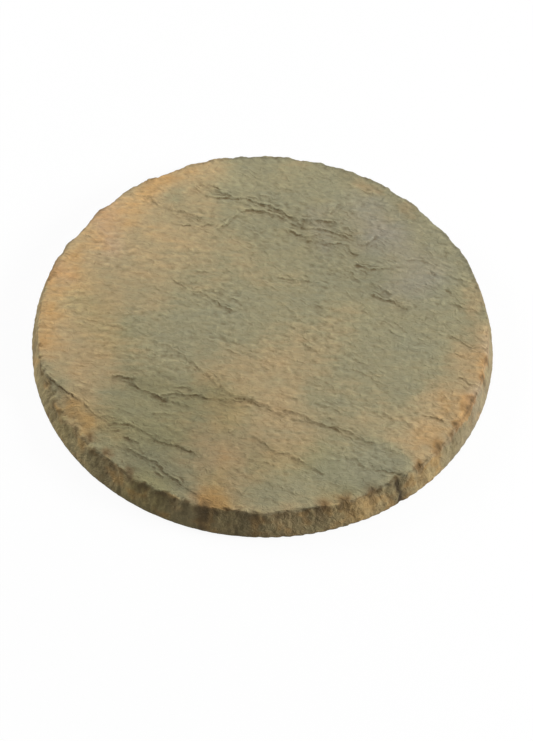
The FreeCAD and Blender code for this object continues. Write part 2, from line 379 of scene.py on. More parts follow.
class StageSettings(bpy.types.PropertyGroup):
    """The camera's angles, distance and focal length."""

    elevation: FloatProperty(
        name="Elevation", description="Camera above the horizon",
        default=math.radians(52.55), subtype="ANGLE")
    roll: FloatProperty(
        name="Roll", description="Camera turned about its line of sight",
        default=math.radians(2.13), subtype="ANGLE")
    pitch: FloatProperty(
        name="Pitch", description="Camera aimed below the stone's middle",
        default=math.radians(1.257), subtype="ANGLE")
    yaw: FloatProperty(
        name="Yaw", description="Camera aimed to the right of the stone's middle",
        default=math.radians(0.105), subtype="ANGLE")
    distance: FloatProperty(
        name="Distance", description="Camera to the stone's middle", default=1.753, unit="LENGTH")
    focal_pixels: FloatProperty(
        name="Focal length", description="Focal length in pixels of the picture", default=1800.0)


def add_node(tree, kind, inputs=None, **settings):
    """Adds a node with its settings. A socket among its inputs is linked, and any other value is set."""
    node = tree.nodes.new(kind)
    for name, value in settings.items():
        setattr(node, name, value)
    for name, value in (inputs or {}).items():
        if isinstance(value, bpy.types.NodeSocket):
            tree.links.new(value, node.inputs[name])
        else:
            node.inputs[name].default_value = value
    return node


def per(mm):
    """Scale of a pattern whose forms are about this many mm wide."""
    return 1 / (mm * MM)


def ease(low, high, values):
    """Smooth step from 0 at low to 1 at high."""
    share = np.clip((values - low) / (high - low), 0.0, 1.0)
    return share * share * (3.0 - 2.0 * share)


def noise_at(places, size, octaves=3, seed=0):
    """Fractal noise of about -1 to 1 at each place, with broadest forms about as wide as size in mm."""
    scaled = places / np.array(size) + np.array(SEED_SHIFT) * seed
    return np.array([noise.fractal(place, 1.0, 2.0, octaves) for place in scaled.tolist()])


def lay_blank(bm, settings):
    """A grid drawn round into the face, its rim drawn down in rows to the ground and closed underneath."""
    bmesh.ops.create_grid(
        bm, x_segments=settings.cells_along, y_segments=settings.cells_across, size=1.0)
    for vert in bm.verts:
        x, y = vert.co.xy
        vert.co.xy = x * math.sqrt(1 - y * y / 2), y * math.sqrt(1 - x * x / 2)
    radius, top = FACE_RADIUS * MM, THICKNESS * MM
    bmesh.ops.scale(bm, vec=(radius, radius, 1.0), verts=bm.verts)
    bmesh.ops.rotate(bm, matrix=Matrix.Rotation(settings.strike, 3, "Z"), verts=bm.verts)
    bmesh.ops.translate(bm, vec=(0.0, 0.0, top), verts=bm.verts)
    rim = [edge for edge in bm.edges if edge.is_boundary]
    last_radius = radius
    for row in range(1, settings.wall_rows + 1):
        share = row / settings.wall_rows
        grown = bmesh.ops.extrude_edge_only(bm, edges=rim)["geom"]
        verts = [part for part in grown if isinstance(part, bmesh.types.BMVert)]
        rim = [part for part in grown if isinstance(part, bmesh.types.BMEdge) and part.is_boundary]
        row_radius = radius + WALL_FLARE * MM * share
        bmesh.ops.scale(bm, vec=(row_radius / last_radius, row_radius / last_radius, 1.0), verts=verts)
        bmesh.ops.translate(bm, vec=(0.0, 0.0, -top / settings.wall_rows), verts=verts)
        last_radius = row_radius
    foot = bmesh.ops.extrude_edge_only(bm, edges=rim)["geom"]
    verts = [part for part in foot if isinstance(part, bmesh.types.BMVert)]
    rim = [part for part in foot if isinstance(part, bmesh.types.BMEdge) and part.is_boundary]
    inward = 1 - FOOT_INSET / BASE_RADIUS
    bmesh.ops.scale(bm, vec=(inward, inward, 1.0), verts=verts)
    bmesh.ops.holes_fill(bm, edges=rim)
    bmesh.ops.recalc_face_normals(bm, faces=bm.faces)


def settle_on_solid(bm):
    """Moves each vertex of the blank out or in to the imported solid, along a ray from a core inside it."""
    solid = BVHTree.FromObject(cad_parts[NODE], bpy.context.evaluated_depsgraph_get())
    core_radius = (FACE_RADIUS - CORE_INSET) * MM
    for vert in bm.verts:
        reach = vert.co.xy.length
        share = min(1.0, core_radius / reach) if reach else 1.0
        core = Vector((vert.co.x * share, vert.co.y * share, THICKNESS / 2 * MM))
        hit = solid.ray_cast(core, vert.co - core)[0]
        vert.co = hit or solid.find_nearest(vert.co)[0]


def soften(bm, blank):
    """Takes the facets of the solid's ledges off the face, and eases the edge a little."""
    reach = np.hypot(blank[:, 0], blank[:, 1])
    inner = [vert for vert in bm.verts if reach[vert.index] < FACE_RADIUS - ARRIS_BAND]
    edge = [vert for vert in bm.verts
            if reach[vert.index] >= FACE_RADIUS - ARRIS_BAND and blank[vert.index, 2] > FOOT_BAND]
    for _ in range(FACE_EASINGS):
        bmesh.ops.smooth_vert(bm, verts=inner, factor=0.5, use_axis_z=True)
    for _ in range(EDGE_EASINGS):
        bmesh.ops.smooth_vert(bm, verts=edge, factor=0.5, use_axis_x=True, use_axis_y=True, use_axis_z=True)


def beyond_line(x, y, line):
    """How far each place lies from a line, positive on its near side, and a fade to the line's two ends."""
    nearest = np.full(x.shape, np.inf)
    side = np.zeros(x.shape)
    passed = np.zeros(x.shape)
    length = 0.0
    for (x0, y0), (x1, y1) in zip(line, line[1:]):
        step_x, step_y = x1 - x0, y1 - y0
        step = math.hypot(step_x, step_y)
        share = np.clip(((x - x0) * step_x + (y - y0) * step_y) / step ** 2, 0.0, 1.0)
        off_x, off_y = x - x0 - share * step_x, y - y0 - share * step_y
        distance = np.hypot(off_x, off_y)
        closer = distance < nearest
        nearest = np.where(closer, distance, nearest)
        side = np.where(closer, np.sign(step_y * off_x - step_x * off_y), side)
        passed = np.where(closer, length + share * step, passed)
        length += step
    fade = min(LEDGE_FADE, LEDGE_FADE_SHARE * length)
    return nearest * side, ease(0.0, fade, passed) * ease(0.0, fade, length - passed)


def ledge_relief(flat, riven):
    """Height of the ledges, and the fields that draw their crisp lines.

    A sheet keeps how far each place lies from a ledge. Ledges on one sheet never come close, so that their
    distances stay apart.
    """
    x = flat[:, 0] + 1.5 * noise_at(flat, 20, 2, 2)
    y = flat[:, 1] + 1.5 * noise_at(flat, 20, 2, 1) + 0.9 * noise_at(riven, (11, 8, 1), 2, 30)
    vigour = 1.0 + 0.25 * noise_at(riven, (50, 30, 1), 2, 40) + 0.9 * noise_at(riven, (20, 13, 1), 2, 41)
    vigour = np.clip(vigour, 0.4, 1.4)
    none = np.zeros(len(flat))
    height = none.copy()
    sheets = []
    for depth, run, line in LEDGES.values():
        beyond, fade = beyond_line(x, y, line)
        strength = depth * vigour * fade
        fallen = ease(-LEDGE_SOFT, LEDGE_SOFT, beyond) * np.exp(-np.maximum(beyond, 0.0) / run)
        height -= LEDGE_SINK * strength * fallen
        near = (np.abs(beyond) < LEDGE_REACH) & (fade > 0.0)
        strength = strength * ease(LEDGE_REACH, 0.7 * LEDGE_REACH, np.abs(beyond))
        sheet = next((sheet for sheet in sheets if not np.any(sheet["taken"] & near)), None)
        if sheet is None:
            sheet = {"taken": none.astype(bool), "beyond": none.copy(), "strength": none.copy()}
            sheets.append(sheet)
        sheet["taken"] |= near
        sheet["beyond"][near] = beyond[near]
        sheet["strength"][near] = strength[near]
    fields = {}
    for number, sheet in enumerate(sheets):
        fields[f"ledge_{number}"] = sheet["beyond"]
        fields[f"ledge_{number}_strength"] = sheet["strength"]
    return height, fields


def riven_relief(blank, strike):
    """Height that the riving leaves on the face, and fields that draw its ledges, layers and flakes."""
    reach = np.hypot(blank[:, 0], blank[:, 1])
    share = np.minimum(1.0, FACE_RADIUS / np.maximum(reach, 1.0))
    none = np.zeros(len(blank))
    flat = np.column_stack([blank[:, 0] * share, blank[:, 1] * share, none])
    along = flat[:, 0] * math.cos(strike) + flat[:, 1] * math.sin(strike)
    across = flat[:, 1] * math.cos(strike) - flat[:, 0] * math.sin(strike)
    height, fields = ledge_relief(flat, np.column_stack([along, across, none]))

    # Thin layers and small flakes, broken off in some places in steps that face the near side
    bent = across + LEFT_BEND * np.maximum(-flat[:, 0], 0.0) ** 2
    sheared = np.column_stack([along, bent, none])
    layer = bent / LAYER + 1.2 * noise_at(sheared, (90, 45, 1), 3, 4)
    layer += 0.10 * noise_at(sheared, (9, 6, 1), 2, 5)
    broken = ease(0.0, 0.6, noise_at(sheared, (50, 22, 1), 3, 6) + 0.10)
    step = layer - np.floor(layer)
    height -= LAYER_STEP * broken * step * ease(1.0, 0.9, step)
    flake = bent / FLAKE + 1.3 * noise_at(sheared, (38, 17, 1), 3, 17)
    flake += 0.25 * noise_at(sheared, (8, 5, 1), 2, 18)
    chipped = ease(-0.2, 0.5, noise_at(sheared, (34, 22, 1), 3, 19))
    step = flake - np.floor(flake)
    height -= FLAKE_STEP * (0.15 + 0.85 * chipped) * step * ease(1.0, 0.82, step)
    fields["layer"] = layer
    fields["layer_strength"] = broken * ease(-0.15, 0.3, noise_at(sheared, (24, 14, 1), 2, 50))
    fields["flake"] = flake
    fields["flake_strength"] = chipped * ease(-0.15, 0.3, noise_at(sheared, (14, 8, 1), 2, 51))

    # Fine streaks along the riving, the swell of the face, its lumps, and bumps that are low in some places
    lean = 2.0 * noise_at(sheared, (18, 7, 1), 2, 7)
    streak = np.column_stack([along, bent + lean, none])
    height += STREAK_RISE * noise_at(streak, (30, 5.5, 1), 3, 8)
    height += SWELL_RISE * noise_at(flat, 75, 2, 9)
    height += LUMP_RISE * noise_at(sheared, (17, 10, 1), 2, 16)
    pocked = 0.35 + 0.65 * ease(-0.25, 0.4, noise_at(sheared, (42, 30, 1), 3, 22))
    height += BUMP_RISE * pocked * noise_at(sheared, (8.0, 5.5, 1), 2, 10)
    return height, fields


def cleft_at(blank, turn_at):
    """How far each place lies from the cleft of the edge along it, and how wide its pits open there."""
    wander = noise_at(blank * np.array([0, 0, 1.0]), 9, 2, 14)
    pits = 0.5 + 1.2 * np.abs(blank[:, 2] / THICKNESS - 0.5)
    return (turn_at - CLEFT_TURN) * math.radians(FACE_RADIUS) + 3.0 * wander, pits


def pitched_relief(blank, turn_at):
    """How far the pitching chisel left each place of the edge out from, or in of, the plain wall."""
    turn = blank[:, 2] * TOOL_LEAN
    twisted = np.column_stack([
        blank[:, 0] * np.cos(turn) - blank[:, 1] * np.sin(turn),
        blank[:, 0] * np.sin(turn) + blank[:, 1] * np.cos(turn),
        blank[:, 2]])
    facets = FACET_RISE * noise_at(twisted, (26, 26, 44), 2, 11)
    grooves = 0.4 - GROOVE_DEPTH * np.abs(noise_at(twisted, (9, 9, 36), 3, 12))
    pocks = POCK_RISE * noise_at(blank, (4.5, 4.5, 9), 3, 13)
    # To the right the wall is smoother
    calm = 1.0 - 0.5 * ease(-50, -38, turn_at) * ease(30, 5, turn_at)
    away, pits = cleft_at(blank, turn_at)
    cleft = CLEFT_DEPTH * pits * np.exp(-(away / (1.8 + 2.0 * pits)) ** 2)
    return (facets + grooves + pocks) * calm - cleft


def patch_sum(places, patches):
    """Sum of soft patches at each place, their outlines broken by drifting noise."""
    drift = np.column_stack([noise_at(places, 30, 5, 20), noise_at(places, 30, 5, 21)]) * 9
    x, y = places[:, 0] + drift[:, 0], places[:, 1] + drift[:, 1]
    total = np.zeros(len(places))
    for (x0, y0), (x1, y1), half_width, strength in patches:
        step_x, step_y = x1 - x0, y1 - y0
        part = np.clip(((x - x0) * step_x + (y - y0) * step_y) / (step_x ** 2 + step_y ** 2), 0.0, 1.0)
        away = np.hypot(x - x0 - part * step_x, y - y0 - part * step_y)
        total += strength * np.exp(-(away / half_width) ** 2)
    return total


def set_attribute(mesh, name, values):
    """Stores one number for each vertex under a name."""
    attribute = mesh.attributes.new(name=name, type="FLOAT", domain="POINT")
    attribute.data.foreach_set("value", np.ascontiguousarray(values, dtype=np.float32))


def coordinates(verts):
    """Places of vertices in mm, one row each."""
    return np.array([vert.co[:] for vert in verts]) / MM


def edge_darkening(blank, past_arris, turn_at):
    """Darkening of the edge: ragged strokes under the near arris, painted shade in the cleft and painted
    shadow along the ground.
    """
    strokes = np.clip(0.55 + 1.7 * noise_at(blank, (7, 7, 40), 3, 61), 0.0, 1.0)
    near_side = ease(-177, -160, turn_at) * ease(-46, -58, turn_at)
    ragged = past_arris + 5.0 * noise_at(blank, (6, 6, 40), 3, 62)
    soil_and_shade = 0.85 * near_side * strokes * ease(-2.0, 1.5, ragged) * ease(13.0, 3.0, ragged)
    away, pits = cleft_at(blank, turn_at)
    # Painted shade in the cleft
    soil_and_shade = np.maximum(soil_and_shade, 0.95 * np.exp(-(away / (1.2 + 3.0 * pits)) ** 2) * ease(-4.0, 0.0, past_arris))
    # Painted shadow along the ground, darker towards the foot
    return np.maximum(soil_and_shade, 0.6 * np.clip(1.0 - blank[:, 2] / 6.0, 0.0, 1.0))


def arris_stains(blank):
    """How much rust-brown soil lies in the small breaks of the arris."""
    frayed = blank[:, :2] + 3.0 * np.column_stack([noise_at(blank, 6, 2, 63), noise_at(blank, 6, 2, 64)])
    rust = np.zeros(len(blank))
    for (x, y), half_width in ARRIS_STAINS:
        spot = np.hypot(frayed[:, 0] - x, frayed[:, 1] - y) / half_width
        rust = np.maximum(rust, np.exp(-spot ** 2))
    return rust


def face_hollows(heights, columns, rows):
    """How far each place of the face lies under the mean of its neighbours, from -1 to 1."""
    face = heights[:columns * rows].reshape(rows, columns)
    blurred = face
    for _ in range(6):
        padded = np.pad(blurred, 1, mode="edge")
        beside = padded[:-2, 1:-1] + padded[2:, 1:-1] + padded[1:-1, :-2] + padded[1:-1, 2:]
        blurred = (beside + 4 * blurred) / 8
    return np.clip((blurred - face).ravel() * 2.2, -1.0, 1.0)


def finish_fields(blank, turn_at, past_arris, at_rim, hollow_shade):
    """What the material reads: dye, tone and soil with painted light and shade, coolness, hollows for
    painted shade, and face or edge.
    """
    over_arris = 5.0 * ease(-60, -46, turn_at) * ease(60, 20, turn_at)
    edge = ease(-1.5, 3.5, past_arris - over_arris + 4.5 * noise_at(blank, (9, 9, 9), 3, 60))
    away, pits = cleft_at(blank, turn_at)
    # Painted shade down the cleft of the edge
    edge_light_and_shade = -0.55 * np.exp(-(away / (0.6 + 2.8 * pits)) ** 2) * edge
    edge_dye = 1.2 * edge * np.maximum(noise_at(blank, (15, 15, 15), 3, 65), 0.0)
    # Painted light and shade by the edge's turn, with its dye
    for turn, half_width, paler, warmer in EDGE_LIGHT_AND_DYE_PATCHES:
        there = edge * np.exp(-((turn_at - turn) / half_width) ** 2)
        edge_light_and_shade += paler * there
        edge_dye += warmer * there
    rust = arris_stains(blank)
    # Painted shade along the arris on the far side, where the face turns away
    far_side = ease(-0.1, 0.4, np.sin(np.radians(turn_at)))
    far_arris_shade = far_side * ease(-6.5, -2.5, past_arris + 1.5 * noise_at(blank, 9, 2, 66))

    dye = PLAIN_DYE + patch_sum(blank, DYE_PATCHES) * (1.0 - 0.7 * edge) + edge_dye + 0.6 * rust
    tone_light_and_shade = 1.0 + patch_sum(blank, LIGHT_SHADE_AND_TONE_PATCHES) * (1.0 - 0.5 * at_rim) + edge_light_and_shade
    tone_light_and_shade -= 0.38 * rust + 0.27 * far_arris_shade
    cool = 1.0 + patch_sum(blank, COOL_PATCHES)
    soil_and_shade = np.maximum(edge_darkening(blank, past_arris, turn_at), 0.6 * rust)
    # The underside is plain, with one value for each
    under = (blank[:, 2] < 0.1) & (np.hypot(blank[:, 0], blank[:, 1]) < BASE_RADIUS - FOOT_INSET / 2)
    fields = {"dye": (dye, 0.2), "tone_light_and_shade": (tone_light_and_shade, 1.0), "cool": (cool, 1.0), "soil_and_shade": (soil_and_shade, 0.3),
              "hollow_shade": (hollow_shade, 0.3), "edge": (edge, 1.0)}
    return {name: np.where(under, plain, values) for name, (values, plain) in fields.items()}


def cast_stone(settings):
    """The stone as one mesh, settled on the solid, riven on its face and pitched on its edge."""
    bm = bmesh.new()
    lay_blank(bm, settings)
    bm.verts.index_update()
    blank = coordinates(bm.verts)
    settle_on_solid(bm)
    soften(bm, blank)
    places = coordinates(bm.verts)

    reach = np.hypot(blank[:, 0], blank[:, 1])
    turn_at = np.degrees(np.arctan2(blank[:, 1], blank[:, 0]))
    height, fields = riven_relief(blank, settings.strike)
    pitched = pitched_relief(blank, turn_at)
    at_rim = ease(FACE_RADIUS - PITCHED_BAND, FACE_RADIUS, reach)
    off_ground = ease(0.5, 6.0, blank[:, 2])
    out = places[:, :2] / np.maximum(np.hypot(places[:, 0], places[:, 1]), 1.0)[:, None]
    for turn, half_width, inward, depth in SPALLS:
        height -= depth * np.exp(-((turn_at - turn) / half_width) ** 2) * ease(
            FACE_RADIUS - inward, FACE_RADIUS, reach)
    crumbled = CRUMBLE_DEPTH * np.maximum(noise_at(blank, (8, 8, 30), 3, 15), 0.0)
    places[:, :2] += out * (pitched * at_rim * (0.2 + 0.8 * off_ground))[:, None]
    lowered = height - crumbled * ease(FACE_RADIUS - CRUMBLED_BAND, FACE_RADIUS, reach)
    places[:, 2] += lowered * off_ground * blank[:, 2] / THICKNESS

    columns, rows = settings.cells_along + 1, settings.cells_across + 1
    # How deep each place lies in a hollow: painted shade in the hollows and painted highlights on the rises
    hollow_shade = np.clip(0.35 - 0.45 * pitched, 0.0, 1.0) * at_rim
    hollow_shade[:columns * rows] = face_hollows(places[:, 2], columns, rows)
    past_arris = np.where(blank[:, 2] < THICKNESS - 0.1, THICKNESS - blank[:, 2], reach - FACE_RADIUS)

    for vert, place in zip(bm.verts, places.tolist()):
        vert.co = Vector(place) * MM
    for face in bm.faces:
        face.smooth = len(face.verts) == 4
    mesh = bpy.data.meshes.new("riven_stone")
    bm.to_mesh(mesh)
    bm.free()
    on_face = ease(7.0, 0.0, past_arris)
    for name, values in fields.items():
        set_attribute(mesh, name, values * on_face if name.endswith("strength") else values)
    for name, values in finish_fields(blank, turn_at, past_arris, at_rim, hollow_shade).items():
        set_attribute(mesh, name, values)
    stone = bpy.data.objects.new("riven_stone", mesh)
    bpy.context.collection.objects.link(stone)
    return stone


def ledge_marks(tree, sheets, place):
    """How pale or dark the ledges, layers and flakes paint the stone, 0 being plain: shadow and dirt in
    steps, highlight on lips.
    """
    # Line wander of about 8 mm, finer than the mesh holds
    ragged = add_node(tree, "ShaderNodeTexNoise", {
        "Vector": place, "Scale": per(8), "Detail": 4.0, "Roughness": 0.65}).outputs[0]
    wander = add_node(tree, "ShaderNodeMath", {
        0: ragged, 1: LEDGE_WANDER, 2: -LEDGE_WANDER / 2}, operation="MULTIPLY_ADD").outputs[0]
    echoes = []
    for number, (close, far) in enumerate(LEDGE_ECHOES):
        moved = add_node(tree, "ShaderNodeMapping", {
            "Vector": place, "Location": (number, 0, 0)}).outputs[0]
        apart = add_node(tree, "ShaderNodeTexNoise", {
            "Vector": moved, "Scale": per(24), "Detail": 1.0}).outputs[0]
        kept = add_node(tree, "ShaderNodeTexNoise", {
            "Vector": moved, "Scale": per(15), "Detail": 1.0}).outputs[0]
        shift = add_node(tree, "ShaderNodeMapRange", {
            0: apart, 1: 0.3, 2: 0.7, 3: -close, 4: -far}).outputs[0]
        share = add_node(tree, "ShaderNodeMapRange", {
            0: kept, 1: 0.45, 2: 0.62, 3: 0.0, 4: 0.8}).outputs[0]
        echoes.append((shift, share))

    strands = []
    for number in range(sheets):
        name = f"ledge_{number}"
        beyond = add_node(tree, "ShaderNodeAttribute", attribute_name=name).outputs["Fac"]
        strength = add_node(tree, "ShaderNodeAttribute", attribute_name=name + "_strength").outputs["Fac"]
        strands.append((beyond, strength))
        for shift, share in echoes:
            beside = add_node(tree, "ShaderNodeMath", {
                0: beyond, 1: shift}, operation="ADD").outputs[0]
            faint = add_node(tree, "ShaderNodeMath", {
                0: strength, 1: share}, operation="MULTIPLY").outputs[0]
            strands.append((beside, faint))
    for name, spacing, line in (("layer", LAYER, LAYER_LINE), ("flake", FLAKE, FLAKE_LINE)):
        count = add_node(tree, "ShaderNodeAttribute", attribute_name=name).outputs["Fac"]
        strength = add_node(tree, "ShaderNodeAttribute", attribute_name=name + "_strength").outputs["Fac"]
        turned = add_node(tree, "ShaderNodeMath", {0: count, 1: 0.5, 2: -0.5}, operation="WRAP").outputs[0]
        beyond = add_node(tree, "ShaderNodeMath", {0: turned, 1: -spacing}, operation="MULTIPLY").outputs[0]
        faint = add_node(tree, "ShaderNodeMath", {0: strength, 1: line}, operation="MULTIPLY").outputs[0]
        strands.append((beyond, faint))

    total = 0.0
    low, high = LEDGE_SECTION[0][0], LEDGE_SECTION[-1][0]
    for beyond, strength in strands:
        shifted = add_node(tree, "ShaderNodeMath", {0: beyond, 1: wander}, operation="ADD").outputs[0]
        share = add_node(tree, "ShaderNodeMapRange", {0: shifted, 1: low, 2: high}).outputs[0]
        section = add_node(tree, "ShaderNodeValToRGB", {0: share})
        elements = section.color_ramp.elements
        for spot, (mm, pale) in enumerate(LEDGE_SECTION):
            at = (mm - low) / (high - low)
            element = elements[0] if spot == 0 else elements[-1] if mm == high else elements.new(at)
            element.position = at
            element.color = (pale, pale, pale, 1)
        plain = add_node(tree, "ShaderNodeMath", {
            0: section.outputs[0], 1: -0.5}, operation="ADD").outputs[0]
        total = add_node(tree, "ShaderNodeMath", {
            0: plain, 1: strength, 2: total}, operation="MULTIPLY_ADD").outputs[0]
    # Breaks of about 6 mm along the lines
    torn = add_node(tree, "ShaderNodeTexNoise", {
        "Vector": place, "Scale": per(6), "Detail": 2.0, "Roughness": 0.6}).outputs[0]
    held = add_node(tree, "ShaderNodeMapRange", {0: torn, 1: 0.38, 2: 0.6, 3: 0.45, 4: 1.35}).outputs[0]
    return add_node(tree, "ShaderNodeMath", {0: total, 1: held}, operation="MULTIPLY").outputs[0]


def reconstituted_stone(settings, sheets):
    """Wet-cast reconstituted stone: a sandy matte face in grey-green and buff, darker where dirt lies and
    shade is painted, with painted highlights.
    """
    material = bpy.data.materials.new("wet_cast_reconstituted_stone")
    material.use_nodes = True
    tree = material.node_tree
    tree.nodes.clear()
    place = add_node(tree, "ShaderNodeTexCoord").outputs["Object"]
    dye, tone_light_and_shade, cool, soil_and_shade, hollow_shade, edge = (
        add_node(tree, "ShaderNodeAttribute", attribute_name=name).outputs["Fac"]
        for name in ("dye", "tone_light_and_shade", "cool", "soil_and_shade", "hollow_shade", "edge"))

    # Streaks along the riving, and the mottling of the dye
    along = add_node(tree, "ShaderNodeMapping", {
        "Vector": place, "Rotation": (0, 0, -settings.strike), "Scale": (per(26), per(5), per(12))})
    streak = add_node(tree, "ShaderNodeTexNoise", {
        "Vector": along.outputs[0], "Scale": 1.0, "Detail": 2.0, "Roughness": 0.55}).outputs[0]
    mottle = add_node(tree, "ShaderNodeTexNoise", {
        "Vector": place, "Scale": per(38), "Detail": 3.0, "Roughness": 0.55}).outputs[0]
    # Sand of about half a millimetre, drawn at 1.8 mm so that it shows
    sand = add_node(tree, "ShaderNodeTexNoise", {
        "Vector": place, "Scale": per(1.8), "Detail": 3.0, "Roughness": 0.7}).outputs[0]

    # Grain of the face, a little longer across the picture and turned a quarter of the way to the riving
    short = add_node(tree, "ShaderNodeMapping", {
        "Vector": place, "Rotation": (0, 0, -0.25 * settings.strike), "Scale": (per(5.6), per(4.6), per(5))})
    grain = add_node(tree, "ShaderNodeTexNoise", {
        "Vector": short.outputs[0], "Scale": 1.0, "Detail": 2.0, "Roughness": 0.6,
        "Distortion": 0.7}).outputs[0]
    marks = ledge_marks(tree, sheets, place)

    broken = add_node(tree, "ShaderNodeMath", {0: mottle, 1: 0.66, 2: -0.33}, operation="MULTIPLY_ADD")
    dyed = add_node(tree, "ShaderNodeMath", {0: dye, 1: broken.outputs[0]}, operation="ADD")
    streaked = add_node(tree, "ShaderNodeMath", {0: streak, 1: 0.4, 2: -0.2}, operation="MULTIPLY_ADD")
    share = add_node(tree, "ShaderNodeMath", {0: dyed.outputs[0], 1: streaked.outputs[0]}, operation="ADD")
    ramp = add_node(tree, "ShaderNodeValToRGB", {0: share.outputs[0]})
    ramp.color_ramp.elements[0].position = 0.05
    ramp.color_ramp.elements[0].color = (*settings.grey_green, 1)
    ramp.color_ramp.elements[1].position = 1.0
    ramp.color_ramp.elements[1].color = (*settings.orange, 1)
    ramp.color_ramp.elements.new(0.30).color = (*settings.olive, 1)
    ramp.color_ramp.elements.new(0.68).color = (*settings.buff, 1)

    # Edge: vertical streaks of brown and buff along the tooling, the brown also a painted shade in its
    # hollows and the buff a painted highlight on its ridges
    upright = add_node(tree, "ShaderNodeMapping", {
        "Vector": place, "Scale": (per(5), per(5), per(40))})
    tooling = add_node(tree, "ShaderNodeTexNoise", {
        "Vector": upright.outputs[0], "Scale": 1.0, "Detail": 4.0, "Roughness": 0.7}).outputs[0]
    ridged = add_node(tree, "ShaderNodeMath", {0: hollow_shade, 1: -0.55, 2: tooling}, operation="MULTIPLY_ADD")
    ridge = add_node(tree, "ShaderNodeMapRange", {0: ridged.outputs[0], 1: 0.05, 2: 0.6, 3: 0.0, 4: 1.0})
    wall = add_node(tree, "ShaderNodeMix", {
        0: ridge.outputs[0], 6: (*settings.wall_brown, 1), 7: (*settings.wall_buff, 1)}, data_type="RGBA")
    dyed_wall = add_node(tree, "ShaderNodeMix", {
        0: 0.5, 6: wall.outputs[2], 7: ramp.outputs[0]}, data_type="RGBA")
    body = add_node(tree, "ShaderNodeMix", {
        0: edge, 6: ramp.outputs[0], 7: dyed_wall.outputs[2]}, data_type="RGBA")

    sandy = add_node(tree, "ShaderNodeMapRange", {0: sand, 1: 0.25, 2: 0.75, 3: 0.97, 4: 1.03})
    # The grain's brightness follows its bump: painted highlights on its rises and painted shade in its pits
    grain_highlight = add_node(tree, "ShaderNodeMapRange", {0: grain, 1: 0.3, 2: 0.72, 3: 0.905, 4: 1.12})
    # Painted highlight on the rises of the face
    highlit_rises = add_node(tree, "ShaderNodeMapRange", {0: hollow_shade, 1: -0.5, 2: 0.0, 3: 1.18, 4: 1.0})
    # Painted highlight on the lips of the ledges
    lip_highlight = add_node(tree, "ShaderNodeMapRange", {0: marks, 1: 0.0, 2: 0.3, 3: 1.0, 4: 1.3})
    level = tone_light_and_shade
    for layer in (sandy, grain_highlight, highlit_rises, lip_highlight):
        level = add_node(tree, "ShaderNodeMath", {
            0: level, 1: layer.outputs[0]}, operation="MULTIPLY").outputs[0]
    tint = add_node(tree, "ShaderNodeCombineXYZ", {0: 1.0, 1: 1.0, 2: cool})
    tinted = add_node(tree, "ShaderNodeVectorMath", {
        0: body.outputs[2], 1: tint.outputs[0]}, operation="MULTIPLY")
    sanded = add_node(tree, "ShaderNodeVectorMath", {
        0: tinted.outputs[0], "Scale": level}, operation="SCALE")
    # Painted shade in the hollows of the face and the edge
    shaded_hollows = add_node(tree, "ShaderNodeMapRange", {0: hollow_shade, 1: 0.05, 2: 1.0, 3: 0.0, 4: 0.6})
    # Painted shadow, with dirt, in the ledge lines
    line_shade_and_dirt = add_node(tree, "ShaderNodeMapRange", {0: marks, 1: -0.03, 2: -0.8, 3: 0.0, 4: 0.84})
    # Dirt, rust and painted shade all darken towards the earth colour
    dirt_and_shade = soil_and_shade
    for layer in (shaded_hollows, line_shade_and_dirt):
        dirt_and_shade = add_node(tree, "ShaderNodeMath", {
            0: layer.outputs[0], 1: dirt_and_shade}, operation="MAXIMUM").outputs[0]
    earth_and_shade = add_node(tree, "ShaderNodeVectorMath", {0: settings.earth_and_shade, "Scale": tone_light_and_shade}, operation="SCALE")
    colour = add_node(tree, "ShaderNodeMix", {
        0: dirt_and_shade, 6: sanded.outputs[0], 7: earth_and_shade.outputs[0]}, data_type="RGBA")

    grit = add_node(tree, "ShaderNodeBump", {"Strength": 0.55, "Distance": 0.0003, "Height": sand})
    pitted = add_node(tree, "ShaderNodeBump", {
        "Strength": 1.0, "Distance": 0.0020, "Height": grain, "Normal": grit.outputs[0]})
    riven = add_node(tree, "ShaderNodeBump", {
        "Strength": 0.8, "Distance": 0.0003, "Height": streak, "Normal": pitted.outputs[0]})
    riving = add_node(tree, "ShaderNodeBump", {
        "Strength": 1.0, "Distance": 0.0005, "Height": marks, "Normal": riven.outputs[0]})
    rough = add_node(tree, "ShaderNodeMapRange", {0: sand, 1: 0.3, 2: 0.7, 3: 0.82, 4: 0.96})
    shader = add_node(tree, "ShaderNodeBsdfPrincipled", {
        "Base Color": colour.outputs[2], "Roughness": rough.outputs[0], "IOR": 1.5,
        "Normal": riving.outputs[0]})
    add_node(tree, "ShaderNodeOutputMaterial", {"Surface": shader.outputs[0]})
    return material


def seen_share(tree):
    """1 for the rays that show a backdrop: straight from the camera, mirrored, or through glass."""
    rays = add_node(tree, "ShaderNodeLightPath")
    mirrored = add_node(tree, "ShaderNodeMath", {
        0: rays.outputs["Is Camera Ray"], 1: rays.outputs["Is Glossy Ray"]}, operation="MAXIMUM")
    return add_node(tree, "ShaderNodeMath", {
        0: mirrored.outputs[0], 1: rays.outputs["Is Transmission Ray"]}, operation="MAXIMUM").outputs[0]


